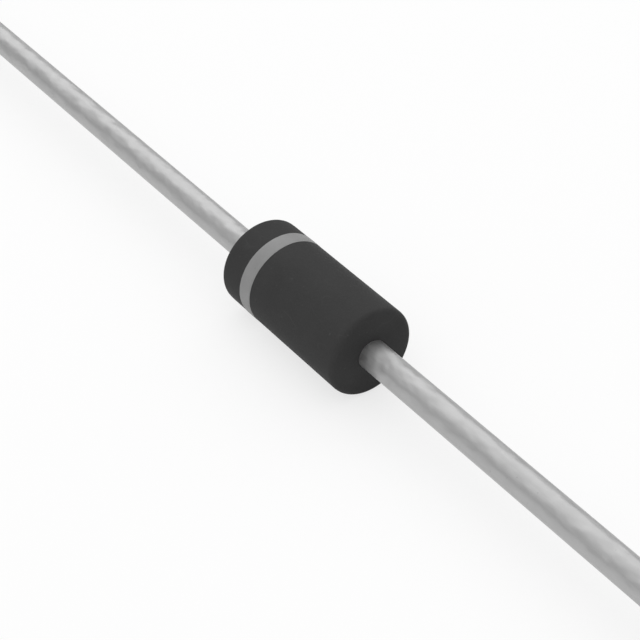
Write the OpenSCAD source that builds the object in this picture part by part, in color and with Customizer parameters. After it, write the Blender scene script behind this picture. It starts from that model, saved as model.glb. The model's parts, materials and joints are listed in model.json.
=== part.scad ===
// Axial-lead zener diode in a moulded body, in millimetres.
// The leads run along X through the origin, which is the middle of the body.
// The anode lead points to +X. The band marks the cathode end, at -X.

/* [Body] */
// Diameter of the moulded body
body_d = 2.67; // [2.2:0.01:3.6]
// Length of the moulded body, end face to end face
body_len = 5.2; // [4.2:0.05:7.6]
// Radius that rounds the two rims of the body
rim_r = 0.16; // [0.05:0.01:0.3]

/* [Cathode band] */
// Distance from the cathode end face to the band
band_inset = 0.92; // [0.4:0.01:1.4]
// Width of the band
band_w = 0.49; // [0.3:0.01:0.8]
// Thickness of the printed ink
ink_t = 0.012; // [0.006:0.001:0.03]

/* [Leads] */
// Diameter of the lead wire
lead_d = 0.86; // [0.6:0.01:1.1]
// Free length of each lead, from the end face to its cut end
lead_len = 26; // [5:0.5:40]
// Edge break round the cut end of a lead
cut_break = 0.05; // [0.02:0.01:0.1]
// How far the wire swells, on its radius, up to its headed end
neck_swell = 0.07; // [0.02:0.01:0.15]
// Thickness of the nail head at its round edge
head_edge = 0.2; // [0.1:0.02:0.3]
// Flat rim of the nail head's face that the coating leaves bare
head_bare = 0.03; // [0.02:0.01:0.1]
// Length of the nail head, from its face to the neck of the wire
head_len = 0.5; // [0.4:0.05:0.8]

/* [Junction] */
// Side of the square silicon die
die_w = 0.95; // [0.6:0.05:1.1]
// Thickness of the die
die_t = 0.26; // [0.18:0.02:0.36]
// Thickness of the solder on each face of the die
solder_t = 0.06; // [0.03:0.01:0.1]
// Distance that the round solder joint stays inside the edges of the die
solder_inset = 0.03; // [0:0.01:0.1]
// Coating that covers the corners of the die
coat_cover = 0.05; // [0.03:0.01:0.1]
// How far the coating bulges out between the two heads
coat_bulge = 0.08; // [0.03:0.01:0.12]

/* [Hidden] */
$fn = 96;
body_r = body_d / 2;
end_x = body_len / 2;
lead_r = lead_d / 2;
tip_x = end_x + lead_len;
// The faces of the two heads stand this far to each side of the middle
face_x = die_t / 2 + solder_t;
neck_r = lead_r + neck_swell;
neck_x = face_x + head_len;
edge_r = head_edge / 2;
solder_r = die_w / 2 - solder_inset;
coat_side_r = die_w / sqrt(2) + coat_cover;
head_flat_r = coat_side_r + head_bare;
// Radius of the arc that rises coat_bulge over the gap between the heads
bulge_arc_r = (face_x * face_x + coat_bulge * coat_bulge) / (2 * coat_bulge);
band_x = -end_x + band_inset;

// Turns a half outline, with its radius on X and its length on Y, about the X axis
module spin() {
    rotate([0, 90, 0]) rotate_extrude() children();
}

// Half outline of the plain body: a cylinder with rounded rims
module body_outline() {
    translate([0, -end_x]) square([body_r - rim_r, body_len]);
    translate([0, rim_r - end_x]) square([body_r, body_len - 2 * rim_r]);
    for (side = [-1, 1])
        translate([body_r - rim_r, side * (end_x - rim_r)]) circle(rim_r);
}

// Half outline of a lead: nail head, tapered shank inside the body, then straight wire
module lead_outline() {
    polygon([
        [0, face_x],
        [head_flat_r, face_x],
        [head_flat_r, face_x + head_edge],
        [neck_r, neck_x],
        [lead_r, end_x],
        [lead_r, tip_x - cut_break],
        [lead_r - cut_break, tip_x],
        [0, tip_x],
    ]);
    translate([head_flat_r, face_x + edge_r]) circle(edge_r);
}

// Half outline of the bead of coating that fills the gap between the heads
module coat_outline() {
    translate([0, -face_x]) square([coat_side_r, 2 * face_x]);
    intersection() {
        translate([coat_side_r + coat_bulge - bulge_arc_r, 0]) circle(bulge_arc_r);
        translate([coat_side_r, -face_x]) square([2 * coat_bulge, 2 * face_x]);
    }
}

// Epoxy body, moulded round the heads of the leads and the coated junction
module moulded_body() {
    color([0.24, 0.24, 0.24]) spin() difference() {
        body_outline();
        lead_outline();
        mirror([0, 1]) lead_outline();
        coat_outline();
    }
}

// Ink printed round the body to mark the cathode
module cathode_band() {
    color([0.57, 0.57, 0.57]) spin()
        translate([body_r, band_x]) square([ink_t, band_w]);
}

// Tinned copper wire with its nail head against the anode side of the die
module anode_lead() {
    color([0.72, 0.72, 0.72]) spin() lead_outline();
}

// The same headed wire on the cathode side
module cathode_lead() {
    color([0.72, 0.72, 0.72]) spin() mirror([0, 1]) lead_outline();
}

// Silicon chip that holds the junction
module zener_die() {
    color([0.35, 0.37, 0.42]) cube([die_t, die_w, die_w], center = true);
}

// Disc of solder between one face of the die and a head
module solder_disc() {
    color([0.62, 0.62, 0.6]) translate([0, 0, die_t / 2]) cylinder(r = solder_r, h = solder_t);
}

// Solder that joins the die to the anode lead
module anode_solder() {
    rotate([0, 90, 0]) solder_disc();
}

// Solder that joins the die to the cathode lead
module cathode_solder() {
    rotate([0, -90, 0]) solder_disc();
}

// Silicone bead that seals the edges of the die
module junction_coating() {
    color([0.92, 0.92, 0.9]) difference() {
        spin() coat_outline();
        zener_die();
        anode_solder();
        cathode_solder();
    }
}

moulded_body();
cathode_band();
anode_lead();
cathode_lead();
zener_die();
anode_solder();
cathode_solder();
junction_coating();
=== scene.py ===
# %% [markdown]
# # Dressing an axial zener diode
# The part on the bench is a zener diode no bigger than a grain of rice: a matte black moulded body, a
# grey band printed round its cathode end, and a tinned wire out of each end. Its solids are built
# already, to size and in place. This lesson adds what the eye sees: smooth turned surfaces, the finish
# of each material, soft studio light and a camera. Everything is in metres, in the frame of the solids.

# %% Load the solids
import json
import math

import bmesh
import bpy
import numpy as np
from mathutils import Matrix, Vector


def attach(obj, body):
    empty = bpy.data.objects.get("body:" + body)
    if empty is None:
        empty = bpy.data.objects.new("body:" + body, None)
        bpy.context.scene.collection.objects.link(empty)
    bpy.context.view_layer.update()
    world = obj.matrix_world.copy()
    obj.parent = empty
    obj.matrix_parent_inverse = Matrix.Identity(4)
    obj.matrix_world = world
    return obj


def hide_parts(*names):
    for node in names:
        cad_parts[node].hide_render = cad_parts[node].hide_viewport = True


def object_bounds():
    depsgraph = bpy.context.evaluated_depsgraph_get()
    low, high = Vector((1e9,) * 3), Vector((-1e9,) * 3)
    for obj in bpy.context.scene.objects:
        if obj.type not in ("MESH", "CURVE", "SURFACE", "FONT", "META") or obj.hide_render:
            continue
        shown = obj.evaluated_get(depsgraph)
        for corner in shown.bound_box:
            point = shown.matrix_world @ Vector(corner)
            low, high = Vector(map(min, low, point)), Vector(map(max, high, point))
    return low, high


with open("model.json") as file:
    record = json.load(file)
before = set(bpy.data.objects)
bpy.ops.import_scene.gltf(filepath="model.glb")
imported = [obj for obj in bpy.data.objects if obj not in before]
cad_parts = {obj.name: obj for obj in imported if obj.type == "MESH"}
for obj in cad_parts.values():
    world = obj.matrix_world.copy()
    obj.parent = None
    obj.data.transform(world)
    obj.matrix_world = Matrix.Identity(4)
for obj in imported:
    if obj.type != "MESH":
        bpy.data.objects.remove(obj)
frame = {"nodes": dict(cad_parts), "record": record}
cad_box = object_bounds()
print("solids:", ", ".join(sorted(frame["nodes"])))

# %% [markdown]
# ## Read the sizes off the solids
# Every piece that shows is a turned form: its section is the same at any angle round the X axis. A
# vertex then needs only two numbers, its place along the axis and its distance from it. Taking those
# two numbers from the mesh of a solid gives back the outline that it was turned from. That is better
# than typing the sizes again, because the looks then follow the solids when a size changes.

# %% Outlines of the solids
MM = 0.001
PLACE_DIGITS = 7


def points_of(mesh):
    """Places of a mesh's vertices, one row (x, y, z) each."""
    places = np.empty(len(mesh.vertices) * 3)
    mesh.vertices.foreach_get("co", places)
    return places.reshape(-1, 3)


def rings_of(node):
    """Rings of a turned solid, one row (x, r) each: x along the axis and r = sqrt(y^2 + z^2)."""
    x, y, z = points_of(frame["nodes"][node].data).T
    return np.unique(np.round(np.column_stack([x, np.hypot(y, z)]), PLACE_DIGITS), axis=0)


body_rings = rings_of("moulded_body")
band_rings = rings_of("cathode_band")
print(f"{len(body_rings)} rings on the body and {len(band_rings)} on the band")

# %% Sizes of the solids
TOUCH = 10**-PLACE_DIGITS

end_x = body_rings[:, 0].max()
body_r = body_rings[:, 1].max()
rim_flat_r = body_rings[body_rings[:, 0] > end_x - TOUCH, 1].max()
rim_r = body_r - rim_flat_r
lead_r = frame["record"]["mounts"][0]["dims"]["r_mm"] * MM
tip_x = cad_box[1].x
print(f"body {2 * body_r / MM:.2f} mm across, {2 * end_x / MM:.2f} mm long, rims {rim_r / MM:.2f} mm")
print(f"wire {2 * lead_r / MM:.2f} mm across, cut {tip_x / MM:.1f} mm from the middle")

# %% [markdown]
# ## A lathe made of arrays
# A lathe turns an outline about an axis. The Spin tool or a Screw modifier could do it, but both hide
# the arithmetic. With arrays the whole surface is one product of two lists: the points of the outline
# and the angles round the axis. Each point is then joined to its neighbours on the grid.

# %% The lathe
def ready(*helpers):
    """Says which helpers a cell has made."""
    print("ready:", ", ".join(helper.__name__ for helper in helpers))


def around(columns):
    """Even angles once round the axis."""
    return np.linspace(0, math.tau, columns, endpoint=False)


def turn(outline, angles):
    """Surface of revolution: point (i, j) is x_i along the axis and r_i away from it, at angle j."""
    x, r = outline[:, :1], outline[:, 1:]
    return np.stack([x + 0 * angles, r * np.cos(angles), r * np.sin(angles)], -1)


def grid_faces(rows, columns, ring):
    """Corners of the quads on a grid whose columns close up, and whose rows close up too for a ring."""
    last = rows if ring else rows - 1
    i, j = np.meshgrid(np.arange(last), np.arange(columns), indexing="ij")
    up, across = (i + 1) % rows, (j + 1) % columns
    corners = [i * columns + j, up * columns + j, up * columns + across, i * columns + across]
    return np.stack(corners, -1).reshape(-1, 4)


ready(around, turn, grid_faces)

# %% [markdown]
# ## Skins for the solids
# A skin is a surface that stands for a solid: it rides on the part and hides the solid. Where an outline
# starts or ends on the axis, all the points of that ring fall together, so the doubles are merged into
# one pole. The shading is smooth, but for edges sharper than the crease. The sign of the volume says
# whether the faces point out.

# %% Skins
CREASE = math.radians(32)
MERGE = TOUCH / 10


def signed_volume(mesh):
    """Sum over the triangles of (a x b) . c / 6, which is positive when the faces point outwards."""
    mesh.calc_loop_triangles()
    corners = np.empty(len(mesh.loop_triangles) * 3, np.int32)
    mesh.loop_triangles.foreach_get("vertices", corners)
    a, b, c = points_of(mesh)[corners].reshape(-1, 3, 3).transpose(1, 0, 2)
    return float(np.einsum("ij,ij->i", np.cross(a, b), c).sum() / 6)


def surface(name, points, ring):
    """Joins a grid of points, rows by columns by 3, into the smooth mesh of a new object."""
    rows, columns = points.shape[:2]
    mesh = bpy.data.meshes.new(name)
    mesh.from_pydata(points.reshape(-1, 3).tolist(), [], grid_faces(rows, columns, ring).tolist())
    merged = bmesh.new()
    merged.from_mesh(mesh)
    bmesh.ops.remove_doubles(merged, verts=merged.verts, dist=MERGE)
    merged.to_mesh(mesh)
    merged.free()
    mesh.shade_smooth()
    mesh.set_sharp_from_angle(angle=CREASE)
    made = bpy.data.objects.new(name, mesh)
    bpy.context.scene.collection.objects.link(made)
    return made


def skin(name, points, ring, node, slot):
    """A closed surface, faces out, that stands for one solid and rides on the part; the slot is not used.
    """
    piece = surface(name, points, ring)
    if signed_volume(piece.data) < 0:
        piece.data.flip_normals()
    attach(piece, "root")
    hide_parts(node)
    print(f"{name}: {len(piece.data.polygons)} faces, {signed_volume(piece.data) / MM**3:.3f} cubic mm")
    return piece


ready(signed_volume, surface, skin)

# %% [markdown]
# ## The moulded body
# The real body is epoxy, pressed hot into a two-part mould that closes round the wires, so its rims are
# rounded and a hair of flash runs along each side where the halves of the mould met. The outline goes
# once round the section: across one end face, round a rim, along the side, round the other rim, across
# the other end face, and back through the cavity that the wires and the chip fill. The flash is a low
# swell of the radius at two opposite angles, so a few extra columns are placed there.

# %% Body outline
FACE_ROWS = 12
RIM_ROWS = 14
SIDE_ROWS = 48


def line(start, stop, count):
    """Rows (x, r) evenly spaced from start towards stop, which is left out."""
    share = np.linspace(0, 1, count, endpoint=False)[:, None]
    return np.array(start) * (1 - share) + np.array(stop) * share


def arc(centre, radius, start, stop, count):
    """Rows (x, r) on a circle, from one angle in degrees towards another, which is left out."""
    angle = np.radians(np.linspace(start, stop, count, endpoint=False))
    return np.array(centre) + radius * np.column_stack([np.cos(angle), np.sin(angle)])


def cavity_outline():
    """Inner rings of the body along X; two at one place step in before the middle and out after it."""
    rings = body_rings[body_rings[:, 1] < rim_flat_r - TOUCH]
    return rings[np.lexsort((rings[:, 1] * np.sign(rings[:, 0]), rings[:, 0]))]


side_x = end_x - rim_r
body_outline = np.concatenate([
    line((end_x, lead_r), (end_x, rim_flat_r), FACE_ROWS)[1:],
    arc((side_x, rim_flat_r), rim_r, 0, 90, RIM_ROWS),
    line((side_x, body_r), (-side_x, body_r), SIDE_ROWS),
    arc((-side_x, rim_flat_r), rim_r, 90, 180, RIM_ROWS),
    line((-end_x, rim_flat_r), (-end_x, lead_r), FACE_ROWS),
    cavity_outline(),
])
print("body outline:", len(body_outline), "points")

# %% Body surface
BODY_COLUMNS = 240
FLASH_ANGLE = math.radians(36.5)
FLASH_HEIGHT = 0.005 * MM
FLASH_HALF_WIDTH = 0.014 * MM
FLASH_REACH = 2 * FLASH_HALF_WIDTH
FLASH_COLUMNS = 9


def body_angles():
    """Even columns, with close ones across each line of flash."""
    even = around(BODY_COLUMNS)
    close = np.linspace(-FLASH_REACH, FLASH_REACH, FLASH_COLUMNS) / body_r
    lines = (FLASH_ANGLE + np.array([[0], [math.pi]]) + close).ravel() % math.tau
    apart = np.abs(np.angle(np.exp(1j * (even[:, None] - lines)))).min(1)
    kept = even[apart > FLASH_HALF_WIDTH / body_r]
    return np.sort(np.concatenate([kept, lines]))


def flash_swell(points):
    """On the outside, y and z times 1 + h exp(-(d / w)^2) / R, at distance d from a line of flash."""
    radius = np.hypot(points[..., 1], points[..., 2])
    angle = np.arctan2(points[..., 2], points[..., 1])
    away = np.abs(np.sin(angle - FLASH_ANGLE)) * body_r
    swell = FLASH_HEIGHT * np.exp(-((away / FLASH_HALF_WIDTH) ** 2)) * (radius > body_r - TOUCH)
    scale = 1 + swell / body_r
    return points * np.stack([np.ones_like(scale), scale, scale], -1)


body = skin("epoxy_body", flash_swell(turn(body_outline, body_angles())), True, "moulded_body", "epoxy")

# %% [markdown]
# ## The printed band
# A wheel rolls a stripe of ink round the body to mark the cathode. The film is about a hundredth of a
# millimetre thick, it thins towards its two edges, and the edges wander a little. A texture on the body
# could show the stripe, but then it would have no thickness to catch the light. So it is a ring of its
# own: across its width it follows a flat-topped curve, and its two edges move with the angle by a few
# sine waves.

# %% Band edges
EDGE_WANDER = 0.010 * MM
LEFT_PHASE = 0.4
RIGHT_PHASE = 1.9
WANDER_TURNS = np.array([[3], [7], [13], [29]])
WANDER_SIZES = np.array([[0.22], [0.14], [0.09], [0.05]])


def wander(angles, phase):
    """From 0 to 1: 0.5 + the sum of size sin(turns angle + phase turns^1.5), the quick waves small."""
    return 0.5 + (WANDER_SIZES * np.sin(WANDER_TURNS * angles + phase * WANDER_TURNS**1.5)).sum(0)


def band_edges(angles):
    """Left and right edge of the ink at each angle; both wander inwards from the ends of the solid."""
    left = band_rings[:, 0].min() + EDGE_WANDER * wander(angles, LEFT_PHASE)
    right = band_rings[:, 0].max() - EDGE_WANDER * wander(angles, RIGHT_PHASE)
    return left, right


print(f"the edges of the band wander by up to {EDGE_WANDER / MM:.3f} mm")

# %% Band surface
BAND_COLUMNS = 320
FILM_ROWS = 25
FOOT_ROWS = 5
FILM_WALL = 0.3
FILM_POWER = 8


def shares(count):
    """Shares of the half width from -1 to 1: sin(pi t / 2) of even steps t, so close at the edges."""
    return np.sin(np.linspace(-1, 1, count) * math.pi / 2)


def band_surface():
    """Ring on the body's side; its height at share u of the half width is t (1 - (1 - wall) u^power)."""
    angles = around(BAND_COLUMNS)
    left, right = band_edges(angles)
    foot_r, top_r = band_rings[:, 1].min(), band_rings[:, 1].max()
    film, foot = shares(FILM_ROWS), shares(FOOT_ROWS)[::-1]
    height = (top_r - foot_r) * (1 - (1 - FILM_WALL) * film**FILM_POWER)
    r = foot_r + np.concatenate([height, 0 * foot])[:, None]
    x = (left + right) / 2 + np.concatenate([film, foot])[:, None] * (right - left) / 2
    return np.stack([x, r * np.cos(angles), r * np.sin(angles)], -1)


band = skin("ink_band", band_surface(), True, "cathode_band", "band_ink")

# %% [markdown]
# ## The leads
# Each lead is one length of copper wire, headed like a nail where it meets the chip, tinned all over
# and sheared off at its far end. The head and the neck are inside the body, so their outline is taken
# from the solid as it is. The free length gets rings of its own, and the sheared end is rounded over,
# as a blade leaves it. The cathode lead is the same outline turned end for end.

# %% Lead surfaces
LEAD_COLUMNS = 120
WIRE_ROWS = 90
EDGE_ROWS = 8
END_ROWS = 6


def lead_outline(node):
    """Pole, nail head and neck from the solid, then even rings on the wire, a round edge and a pole."""
    rings = rings_of(node)
    rings = rings[np.argsort(np.abs(rings[:, 0]), kind="stable")]
    side = np.sign(rings[-1, 0])
    x, r = np.abs(rings[:, 0]), rings[:, 1]
    edge = tip_x - x[r > lead_r - TOUCH].max()
    inside = (x < end_x - TOUCH) & (r > TOUCH)
    half = np.concatenate([
        [(x.min(), 0.0)],
        np.column_stack([x, r])[inside],
        line((end_x, lead_r), (tip_x - edge, lead_r), WIRE_ROWS),
        arc((tip_x - edge, lead_r - edge), edge, 90, 0, EDGE_ROWS),
        line((tip_x, lead_r - edge), (tip_x, 0.0), END_ROWS),
        [(tip_x, 0.0)],
    ])
    return half * (side, 1)


def lead(name, node):
    """One headed wire, turned from its outline with even columns."""
    return skin(name, turn(lead_outline(node), around(LEAD_COLUMNS)), False, node, "tinned_copper")


anode_wire = lead("anode_wire", "anode_lead")
cathode_wire = lead("cathode_wire", "cathode_lead")

# %% [markdown]
# ## Tools for materials
# A material is a small tree of nodes. A few helpers keep the trees short to read. The first ones add a
# node and feed its sockets, with a plain value or with a link from another node, and do sums.

# %% Nodes and links
WHOLE = (0.0, 1.0)


def feed(tree, socket, value):
    """Links a socket to another node's output, or sets its plain value."""
    if isinstance(value, bpy.types.NodeSocket):
        tree.links.new(value, socket)
    else:
        socket.default_value = value


def fill(tree, node, **inputs):
    """Feeds several sockets of a node, named as on the node, with _ for a space."""
    for name, value in inputs.items():
        feed(tree, node.inputs[name.replace("_", " ")], value)


def add(tree, kind, settings=(), **inputs):
    """Adds a node, makes its settings, such as a Math node's operation, and fills its sockets."""
    made = tree.nodes.new("ShaderNode" + kind)
    for option, choice in dict(settings).items():
        setattr(made, option, choice)
    fill(tree, made, **inputs)
    return made


def calc(tree, operation, *values):
    """A Math node's result."""
    made = add(tree, "Math", {"operation": operation})
    for socket, value in zip(made.inputs, values):
        feed(tree, socket, value)
    return made.outputs[0]


def spread(tree, value, given, wanted=WHOLE):
    """Stretches the values of one range over another, and holds those beyond it at its ends."""
    (low, high), (to_low, to_high) = given, wanted
    made = add(tree, "MapRange", Value=value, From_Min=low, From_Max=high, To_Min=to_low, To_Max=to_high)
    return made.outputs["Result"]


ready(feed, fill, add, calc, spread)

# %% [markdown]
# Patterns are worked out from Object coordinates, which are metres here, so a noise of scale 1 / size
# has lumps of about that size. A bump tilts the shading by a pattern, as if the surface had that relief.

# %% Patterns
def object_place(tree):
    """Object coordinates, in metres from the middle of the body."""
    return add(tree, "TexCoord").outputs["Object"]


def stretch(tree, place, scale, rotation=(0.0, 0.0, 0.0)):
    """Coordinates in which a pattern is longer along each axis whose scale is below 1."""
    return add(tree, "Mapping", Vector=place, Scale=scale, Rotation=rotation).outputs[0]


def noise(tree, place, size, detail=1.0, roughness=0.5):
    """Noise whose lumps are about size metres across; the size is a number or another node's output."""
    scale = 1 / size if isinstance(size, float) else calc(tree, "DIVIDE", 1.0, size)
    made = add(tree, "TexNoise", Vector=place, Scale=scale, Detail=detail, Roughness=roughness)
    return made.outputs["Fac"]


def bump(tree, height, strength, distance, normal=None):
    """Normals tilted by a height of 0 to 1 times a distance in metres."""
    made = add(tree, "Bump", Strength=strength, Distance=distance, Height=height)
    if normal:
        fill(tree, made, Normal=normal)
    return made.outputs[0]


ready(object_place, stretch, noise, bump)

# %% [markdown]
# Colours are levels of light, so a grey of 0.2 looks like the middle of the scale. A finish starts from
# two tones that a pattern blends, and the rest is laid over them as tints.

# %% Colours and finishes
def grey(level):
    """A neutral colour."""
    return (level, level, level, 1.0)


def blend(tree, share, first, second):
    """A colour between two others; a Mix node's sockets share names, so each is told by its identifier."""
    made = add(tree, "Mix", {"data_type": "RGBA"})
    sockets = {socket.identifier: socket for socket in (*made.inputs, *made.outputs)}
    feed(tree, sockets["Factor_Float"], share)
    feed(tree, sockets["A_Color"], first)
    feed(tree, sockets["B_Color"], second)
    return sockets["Result_Color"]


def tint(tree, mask, under, strength, over):
    """Lays a colour over another where a mask shows, at a strength below 1."""
    return blend(tree, calc(tree, "MULTIPLY", mask, strength), under, over)


def new_material(name):
    """A fresh material, its tree and its Principled BSDF."""
    made = bpy.data.materials.new(name)
    made.use_nodes = True
    return made, made.node_tree, made.node_tree.nodes["Principled BSDF"]


def dress(piece, material):
    """Gives a piece its one material."""
    piece.data.materials.clear()
    piece.data.materials.append(material)
    print(f"{piece.name} wears {material.name}, a tree of {len(material.node_tree.nodes)} nodes")


ready(grey, blend, tint, new_material, dress)

# %% [markdown]
# ## Handling marks, shared by several finishes
# Parts like this travel loose in a bag, so every surface has a little of the same: specks of dust and
# short rubs. Painting them into each material would repeat the same nodes, so they are a node group.
# Specks are the peaks of a fine noise; a rub is a narrow slice through the middle of a stretched noise,
# kept to a few patches.

# %% Empty groups
def new_group(name, sizes, results):
    """An empty group with size inputs in metres and named outputs, and the sockets inside it."""
    group = bpy.data.node_groups.new(name, "ShaderNodeTree")
    for label, size in sizes.items():
        socket = group.interface.new_socket(label, in_out="INPUT", socket_type="NodeSocketFloat")
        socket.default_value = size
    for label in results:
        group.interface.new_socket(label, in_out="OUTPUT", socket_type="NodeSocketFloat")
    given = group.nodes.new("NodeGroupInput").outputs
    result = group.nodes.new("NodeGroupOutput").inputs
    return group, given, result


ready(new_group)

# %% Group: handling marks
MARK_SIZE = 0.1 * MM
SPECK_DETAIL = 2.0
SPECK_PEAKS = (0.70, 0.78)
RUB_STRETCH = (0.35, 1.0, 1.0)
RUB_TURN = (0.3, 0.5, 0.9)
RUB_SIZE = 4.5
RUB_WIDTH = 0.012
NOISE_MIDDLE = 0.5
PATCH_SIZE = 11.0
PATCH_PEAKS = (0.54, 0.66)


def handling_marks():
    """Group with a Size in metres, which puts out a Specks mask and a Rubs mask from 0 to 1."""
    group, given, result = new_group("handling_marks", {"Size": MARK_SIZE}, ("Specks", "Rubs"))
    place = object_place(group)
    size = given["Size"]
    fine = noise(group, place, size, SPECK_DETAIL)
    feed(group, result["Specks"], spread(group, fine, SPECK_PEAKS))
    slanted = stretch(group, place, RUB_STRETCH, RUB_TURN)
    wave = noise(group, slanted, calc(group, "MULTIPLY", size, RUB_SIZE))
    from_middle = calc(group, "ABSOLUTE", calc(group, "SUBTRACT", wave, NOISE_MIDDLE))
    stripes = spread(group, from_middle, (0.0, RUB_WIDTH), (1.0, 0.0))
    lumps = noise(group, place, calc(group, "MULTIPLY", size, PATCH_SIZE))
    patches = spread(group, lumps, PATCH_PEAKS)
    feed(group, result["Rubs"], calc(group, "MULTIPLY", stripes, patches))
    return group


def marks_in(tree, size):
    """Places the group in a material, and returns its two masks."""
    made = add(tree, "Group", {"node_tree": MARKS}, Size=size)
    return made.outputs["Specks"], made.outputs["Rubs"]


MARKS = handling_marks()
print(f"group {MARKS.name}: {len(MARKS.nodes)} nodes")

# %% [markdown]
# ## Cast grain, shared by the moulded and printed finishes
# Epoxy, ink, solder and silicone all set from a liquid, so they share a soft cloudiness and a fine
# grain. The group puts out both, and each material decides how deep its grain is and how far its colour
# drifts.

# %% Group: cast grain
GRAIN_SIZE = 0.04 * MM
CLOUD_SIZE = 0.9 * MM
GRAIN_DETAIL = 3.0
CLOUD_DETAIL = 4.0
CAST_ROUGHNESS = 0.6
CAST_SPAN = (0.25, 0.75)


def cast_grain():
    """Group with a Grain Size and a Cloud Size in metres, which puts out Grain and Cloud from 0 to 1."""
    sizes = {"Grain Size": GRAIN_SIZE, "Cloud Size": CLOUD_SIZE}
    group, given, result = new_group("cast_grain", sizes, ("Grain", "Cloud"))
    place = object_place(group)
    for name, detail in (("Grain", GRAIN_DETAIL), ("Cloud", CLOUD_DETAIL)):
        lumps = noise(group, place, given[name + " Size"], detail, CAST_ROUGHNESS)
        feed(group, result[name], spread(group, lumps, CAST_SPAN))
    return group


def grain_in(tree, grain, cloud):
    """Places the group in a material, and returns its Grain and Cloud."""
    made = add(tree, "Group", {"node_tree": GRAIN}, Grain_Size=grain, Cloud_Size=cloud)
    return made.outputs["Grain"], made.outputs["Cloud"]


GRAIN = cast_grain()
print(f"group {GRAIN.name}: {len(GRAIN.nodes)} nodes")

# %% [markdown]
# ## Black moulding epoxy
# The compound is a black resin full of ground quartz, and the mould is blasted, so the body is matte:
# it has hardly any sheen and no clear reflection. Its black is a dark grey in daylight. The grain feeds
# a bump, the clouds drift the grey by a hundredth, and quartz, specks and rubs are a little paler. Each
# tint below is a strength and a colour, and each relief a strength and a depth.

# %% Epoxy
EPOXY_GRAIN = 0.045 * MM
EPOXY_CLOUD = 1.1 * MM
EPOXY_MARKS = 0.12 * MM
EPOXY_TONES = (grey(0.036), grey(0.046))
EPOXY_QUARTZ = (0.35, grey(0.058))
EPOXY_SPECKS = (0.25, grey(0.11))
EPOXY_RUBS = (0.18, grey(0.10))
EPOXY_ROUGHNESS = (0.60, 0.72)
EPOXY_SPECULAR = 0.08
EPOXY_RELIEF = (0.5, 0.006 * MM)


def epoxy():
    """Dark grey that drifts with the clouds, pale quartz, specks and rubs, faint sheen, fine bump."""
    made, tree, shader = new_material("black_epoxy")
    grain, cloud = grain_in(tree, EPOXY_GRAIN, EPOXY_CLOUD)
    specks, rubs = marks_in(tree, EPOXY_MARKS)
    tone = blend(tree, cloud, *EPOXY_TONES)
    tone = tint(tree, grain, tone, *EPOXY_QUARTZ)
    tone = tint(tree, specks, tone, *EPOXY_SPECKS)
    tone = tint(tree, rubs, tone, *EPOXY_RUBS)
    rough = spread(tree, cloud, WHOLE, EPOXY_ROUGHNESS)
    relief = bump(tree, grain, *EPOXY_RELIEF)
    fill(tree, shader, Base_Color=tone, Roughness=rough, Normal=relief)
    fill(tree, shader, Specular_IOR_Level=EPOXY_SPECULAR)
    return made


dress(body, epoxy())

# %% [markdown]
# ## Grey marking ink
# The ink is a flat grey enamel with a little more gloss than the epoxy. It lies on the grain of the
# body, so the same grain shows through it more softly, and a few pinholes let the black through.

# %% Ink
INK_GRAIN = 0.06 * MM
INK_CLOUD = 0.5 * MM
INK_MARKS = 0.07 * MM
INK_TONES = (grey(0.230), grey(0.265))
INK_PINHOLES = (0.35, grey(0.10))
INK_RUBS = (0.25, grey(0.17))
INK_ROUGHNESS = (0.45, 0.58)
INK_SPECULAR = 0.45
INK_RELIEF = (0.4, 0.005 * MM)


def ink():
    """Mid grey that drifts with the clouds, darker pinholes and rubs, soft bump."""
    made, tree, shader = new_material("grey_ink")
    grain, cloud = grain_in(tree, INK_GRAIN, INK_CLOUD)
    pinholes, rubs = marks_in(tree, INK_MARKS)
    tone = blend(tree, cloud, *INK_TONES)
    tone = tint(tree, pinholes, tone, *INK_PINHOLES)
    tone = tint(tree, rubs, tone, *INK_RUBS)
    rough = spread(tree, grain, WHOLE, INK_ROUGHNESS)
    relief = bump(tree, grain, *INK_RELIEF)
    fill(tree, shader, Base_Color=tone, Roughness=rough, Normal=relief)
    fill(tree, shader, Specular_IOR_Level=INK_SPECULAR)
    return made


dress(band, ink())

# %% [markdown]
# ## Tin plate on drawn wire
# The wire was drawn through a die, which leaves fine lines along it, and then plated with tin, which
# softens them to a satin. So the noise is stretched along X: one stretched a lot for the draw lines,
# one stretched a little for the slow waves of the plating, which make the edge of a highlight wander.
# At the sheared ends the blade bares the copper and drags some tin down over it from the upper edge.

# %% Cut ends
CUT_DEPTH = 0.004 * MM
STREAK_STRETCH = (1.0, 1.0, 0.15)
STREAK_SIZE = 0.05 * MM
STREAK_DETAIL = 3.0
TIN_DRAG = 0.26
DRAG_EDGE = (0.56, 0.74)
COPPER = (0.42, 0.25, 0.18, 1.0)
DRAGGED_TIN = grey(0.44)


def cut_ends(tree, place):
    """Mask of the cut faces, |x| > tip - depth, and their colour: copper, and tin dragged from above."""
    axes = add(tree, "SeparateXYZ", Vector=place).outputs
    bared = calc(tree, "GREATER_THAN", calc(tree, "ABSOLUTE", axes["X"]), tip_x - CUT_DEPTH)
    streaks = noise(tree, stretch(tree, place, STREAK_STRETCH), STREAK_SIZE, STREAK_DETAIL)
    dragged = calc(tree, "MULTIPLY_ADD", axes["Z"], TIN_DRAG / lead_r, streaks)
    return bared, blend(tree, spread(tree, dragged, DRAG_EDGE), COPPER, DRAGGED_TIN)


print(f"copper shows on the last {CUT_DEPTH / MM:.3f} mm of each wire")

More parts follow.
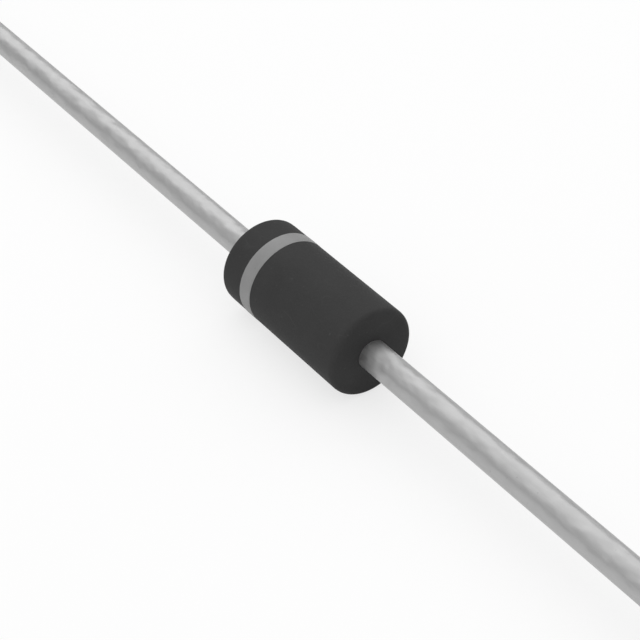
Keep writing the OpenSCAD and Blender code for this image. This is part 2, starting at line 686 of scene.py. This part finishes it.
# %% Tin
NOISE_SPAN = (0.3, 0.7)
DRAW_STRETCH = (0.02, 1.0, 1.0)
DRAW_SIZE = 0.035 * MM
DRAW_DETAIL = 3.0
DRAW_ROUGHNESS = 0.6
DRAW_RELIEF = (0.5, 0.002 * MM)
WAVE_STRETCH = (0.55, 1.0, 1.0)
WAVE_SIZE = 0.34 * MM
WAVE_RELIEF = (1.0, 0.06 * MM)
TIN_MARKS = 0.10 * MM
TIN_TONES = (grey(0.46), grey(0.51))
TIN_WAVES = (0.5, grey(0.45))
TIN_SPECKS = (0.3, grey(0.22))
TIN_RUBS = (0.3, grey(0.55))
TIN_ROUGHNESS = (0.46, 0.54)


def tin():
    """Satin grey metal with lengthwise lines and slow waves, and copper where the wire is cut."""
    made, tree, shader = new_material("tinned_wire")
    place = object_place(tree)
    lines = noise(tree, stretch(tree, place, DRAW_STRETCH), DRAW_SIZE, DRAW_DETAIL, DRAW_ROUGHNESS)
    waves = noise(tree, stretch(tree, place, WAVE_STRETCH), WAVE_SIZE)
    specks, rubs = marks_in(tree, TIN_MARKS)
    tone = blend(tree, spread(tree, lines, NOISE_SPAN), *TIN_TONES)
    tone = tint(tree, spread(tree, waves, NOISE_SPAN), tone, *TIN_WAVES)
    tone = tint(tree, specks, tone, *TIN_SPECKS)
    tone = tint(tree, rubs, tone, *TIN_RUBS)
    bared, copper = cut_ends(tree, place)
    tone = blend(tree, bared, tone, copper)
    rough = spread(tree, lines, NOISE_SPAN, TIN_ROUGHNESS)
    relief = bump(tree, lines, *DRAW_RELIEF, bump(tree, waves, *WAVE_RELIEF))
    fill(tree, shader, Base_Color=tone, Metallic=1.0, Roughness=rough, Normal=relief)
    return made


wire_finish = tin()
dress(anode_wire, wire_finish)
dress(cathode_wire, wire_finish)

# %% [markdown]
# ## The pieces inside
# Nothing inside the body shows, but someone may cut the model open. The chip is sawn silicon, the two
# joints are dull solder with a coarse grain, and the bead round the chip is white silicone. Their
# solids are plain forms already, so they stay, and only get their finish.

# %% Silicon
SAW_STRETCH = (1.0, 0.05, 1.0)
SAW_SIZE = 0.02 * MM
SAW_DETAIL = 2.0
SILICON_TONES = ((0.085, 0.095, 0.115, 1.0), (0.130, 0.140, 0.165, 1.0))
SILICON_METAL = 0.6
SILICON_ROUGHNESS = (0.22, 0.38)


def silicon():
    """Dark blue-grey, half metal, with the fine lines of the saw."""
    made, tree, shader = new_material("sawn_silicon")
    saw = noise(tree, stretch(tree, object_place(tree), SAW_STRETCH), SAW_SIZE, SAW_DETAIL)
    tone = blend(tree, saw, *SILICON_TONES)
    rough = spread(tree, saw, NOISE_SPAN, SILICON_ROUGHNESS)
    fill(tree, shader, Base_Color=tone, Metallic=SILICON_METAL, Roughness=rough)
    return made


dress(frame["nodes"]["zener_die"], silicon())

# %% Solder and silicone
SOLDER_GRAIN = 0.03 * MM
SOLDER_CLOUD = 0.2 * MM
SOLDER_TONES = (grey(0.30), grey(0.40))
SOLDER_ROUGHNESS = (0.42, 0.60)
SILICONE_GRAIN = 0.05 * MM
SILICONE_CLOUD = 0.4 * MM
SILICONE_TONES = ((0.76, 0.76, 0.72, 1.0), (0.84, 0.84, 0.81, 1.0))
SILICONE_ROUGHNESS = (0.40, 0.50)


def solder():
    """Dull metal with a coarse grain."""
    made, tree, shader = new_material("dull_solder")
    grain, cloud = grain_in(tree, SOLDER_GRAIN, SOLDER_CLOUD)
    rough = spread(tree, grain, WHOLE, SOLDER_ROUGHNESS)
    fill(tree, shader, Base_Color=blend(tree, cloud, *SOLDER_TONES), Metallic=1.0, Roughness=rough)
    return made


def silicone():
    """Soft white with a slight cloud and a smooth skin."""
    made, tree, shader = new_material("white_silicone")
    grain, cloud = grain_in(tree, SILICONE_GRAIN, SILICONE_CLOUD)
    rough = spread(tree, grain, WHOLE, SILICONE_ROUGHNESS)
    fill(tree, shader, Base_Color=blend(tree, cloud, *SILICONE_TONES), Roughness=rough)
    return made


joint_metal = solder()
dress(frame["nodes"]["anode_solder"], joint_metal)
dress(frame["nodes"]["cathode_solder"], joint_metal)
dress(frame["nodes"]["junction_coating"], silicone())

# %% [markdown]
# ## The floor
# The diode lies on a sheet of white card, which curves up behind it and beyond its cathode end, so that
# a low picture of its side or of its end shows card and no horizon. The lathe makes the card too: a
# plate about an upright axis, whose rim is pressed flat elsewhere, because the wires would show it.

# %% Floor
CARD_FLAT = 1.58
CARD_BEND = 0.32
BEND_ROWS = 16
CARD_COLUMNS = 240
CARD_RISING = 0.92
CARD_RISEN = 0.98


def floor():
    """Plate with a round rim, whose height is times 3 u^2 - 2 u^3; u is 1 near +Y and -X, 0 elsewhere."""
    low = cad_box[0].z
    outline = np.concatenate([
        line((low, 0.0), (low, CARD_FLAT), 2),
        arc((low + CARD_BEND, CARD_FLAT), CARD_BEND, 180, 90, BEND_ROWS),
        [(low + CARD_BEND, CARD_FLAT + CARD_BEND)],
    ])
    angles = around(CARD_COLUMNS)
    upright = np.roll(turn(outline, angles), -1, axis=-1)
    facing = np.maximum(np.sin(angles), -np.cos(angles))
    u = np.clip((facing - CARD_RISING) / (CARD_RISEN - CARD_RISING), 0, 1)
    upright[..., 2] = low + (upright[..., 2] - low) * (3 * u**2 - 2 * u**3)
    made = surface("card_floor", upright, False)
    return made


card_floor = floor()
rim_rise = math.degrees(math.atan2(CARD_BEND, CARD_FLAT + CARD_BEND))
print(f"floor at z = {cad_box[0].z / MM:.3f} mm, its rim {rim_rise:.1f} degrees above the horizon")

# %% [markdown]
# Plain white paper would come out grey in this soft light, so the card is mixed with even white for the
# rays that reach the eye or a reflection. The mix stops short of full, so the card still takes the
# shadow, and the light that it throws back on the diode is that of paper.

# %% White card
CARD_LIFT = 0.72
PAPER = grey(0.95)
EVEN_WHITE = grey(1.0)


def card():
    """White diffuse card, mixed with even white for rays that show it to the eye or in a reflection."""
    made, tree, shader = new_material("white_card")
    tree.nodes.remove(shader)
    path = add(tree, "LightPath").outputs
    seen = calc(tree, "MAXIMUM", path["Is Camera Ray"], path["Is Glossy Ray"])
    seen = calc(tree, "MAXIMUM", seen, path["Is Transmission Ray"])
    lift = calc(tree, "MULTIPLY", seen, CARD_LIFT)
    paper = add(tree, "BsdfDiffuse", Color=PAPER).outputs[0]
    white = add(tree, "Emission", Color=EVEN_WHITE, Strength=1.0).outputs[0]
    mixed = add(tree, "MixShader")
    for socket, value in zip(mixed.inputs, (lift, paper, white)):
        feed(tree, socket, value)
    fill(tree, tree.nodes["Material Output"], Surface=mixed.outputs[0])
    return made


dress(card_floor, card())

# %% [markdown]
# ## The light
# A photographer lights small shiny parts with broad pale surfaces, because a satin wire shows all that
# is round it. Here the room has grey walls that grow paler up to the ceiling. The pale part leans to
# the front, so the wall behind the diode is the darkest, and one wide soft box stands before that wall,
# beyond the cathode end. On a wire the box and the ceiling make the pale stripe along the upper side,
# the front wall the darker stripe below it, the card the paler lower edge, and the wall behind the thin
# dark line along the upper edge.

# %% Room
WALL_LEVEL = 0.13
CEILING_LEVEL = 1.22
ROOM_LEAN = math.radians(12)


def room():
    """World whose grey goes from the walls' level to the ceiling's with the sine of the leaned height."""
    world = bpy.data.worlds.new("room")
    world.use_nodes = True
    tree = world.node_tree
    outwards = add(tree, "TexCoord").outputs["Generated"]
    leaned = add(tree, "Mapping", Vector=outwards, Rotation=(-ROOM_LEAN, 0.0, 0.0)).outputs[0]
    height = add(tree, "SeparateXYZ", Vector=leaned).outputs["Z"]
    level = spread(tree, height, WHOLE, (WALL_LEVEL, CEILING_LEVEL))
    fill(tree, tree.nodes["Background"], Color=level)
    bpy.context.scene.world = world


room()
bpy.context.scene.view_settings.view_transform = "Standard"
print(f"the walls start at {WALL_LEVEL:.2f} and the ceiling reaches {CEILING_LEVEL:.2f}")

# %% Soft box
BOX_AZIMUTH = math.radians(232)
BOX_RISE = math.radians(37)
BOX_AWAY = 0.5
BOX_WIDTH = 0.84
BOX_HEIGHT = 0.34
BOX_RADIANCE = 1.08


def towards(azimuth, rise):
    """Unit vector from the diode towards an azimuth, counted from -Y to +X, and a height in the sky."""
    level = math.cos(rise)
    return Vector((math.sin(azimuth) * level, -math.cos(azimuth) * level, math.sin(rise)))


def aim(thing, place, target):
    """Puts a lamp or camera at a place, with its -Z towards the target and its Y up."""
    turned = (Vector(target) - Vector(place)).to_track_quat("-Z", "Y").to_matrix().to_4x4()
    thing.matrix_world = Matrix.Translation(place) @ turned


def soft_box():
    """Wide lamp that faces the diode; its power is radiance * pi * area."""
    data = bpy.data.lights.new("back_box", "AREA")
    data.shape = "RECTANGLE"
    data.size = BOX_WIDTH
    data.size_y = BOX_HEIGHT
    data.energy = BOX_RADIANCE * math.pi * BOX_WIDTH * BOX_HEIGHT
    lamp = bpy.data.objects.new("back_box", data)
    bpy.context.scene.collection.objects.link(lamp)
    aim(lamp, towards(BOX_AZIMUTH, BOX_RISE) * BOX_AWAY, (0, 0, 0))
    print(f"{lamp.name}: {data.energy:.2f} W")


soft_box()

# %% [markdown]
# ## The camera
# The picture looks down on the diode from the anode side, close enough for both wires to run out of the
# frame. The lens, the distance and the aim were fitted to the edges of the body, the band and the
# wires, so the numbers are not round. A view is given the way a photographer would say it: how far
# round, how high, how far off, and at what point of the diode.

# %% Camera
LENS_MM = 96.62
SENSOR_MM = 36.0
VIEW_AZIMUTH = math.radians(54.0)
VIEW_RISE = math.radians(38.45)
VIEW_AWAY = 47.06 * MM
VIEW_AT = Vector((0.294, -0.024, -0.324)) * MM
CLIP_NEAR = 1 * MM
CLIP_FAR = 20.0


def camera():
    """Camera that looks at one point of the diode from a given side, height and distance."""
    data = bpy.data.cameras.new("bench_camera")
    data.sensor_width = SENSOR_MM
    data.lens = LENS_MM
    data.clip_start = CLIP_NEAR
    data.clip_end = CLIP_FAR
    made = bpy.data.objects.new("bench_camera", data)
    bpy.context.scene.collection.objects.link(made)
    aim(made, VIEW_AT + towards(VIEW_AZIMUTH, VIEW_RISE) * VIEW_AWAY, VIEW_AT)
    bpy.context.scene.camera = made


camera()
print(f"the view is {VIEW_AWAY / MM * SENSOR_MM / LENS_MM:.1f} mm wide at the diode")

# %% [markdown]
# ## Bring the scene up to date
# The looks must not change the size of the part. The last line updates the view layer, so that every
# piece takes its place.

# %% Update the scene
bpy.context.view_layer.update()
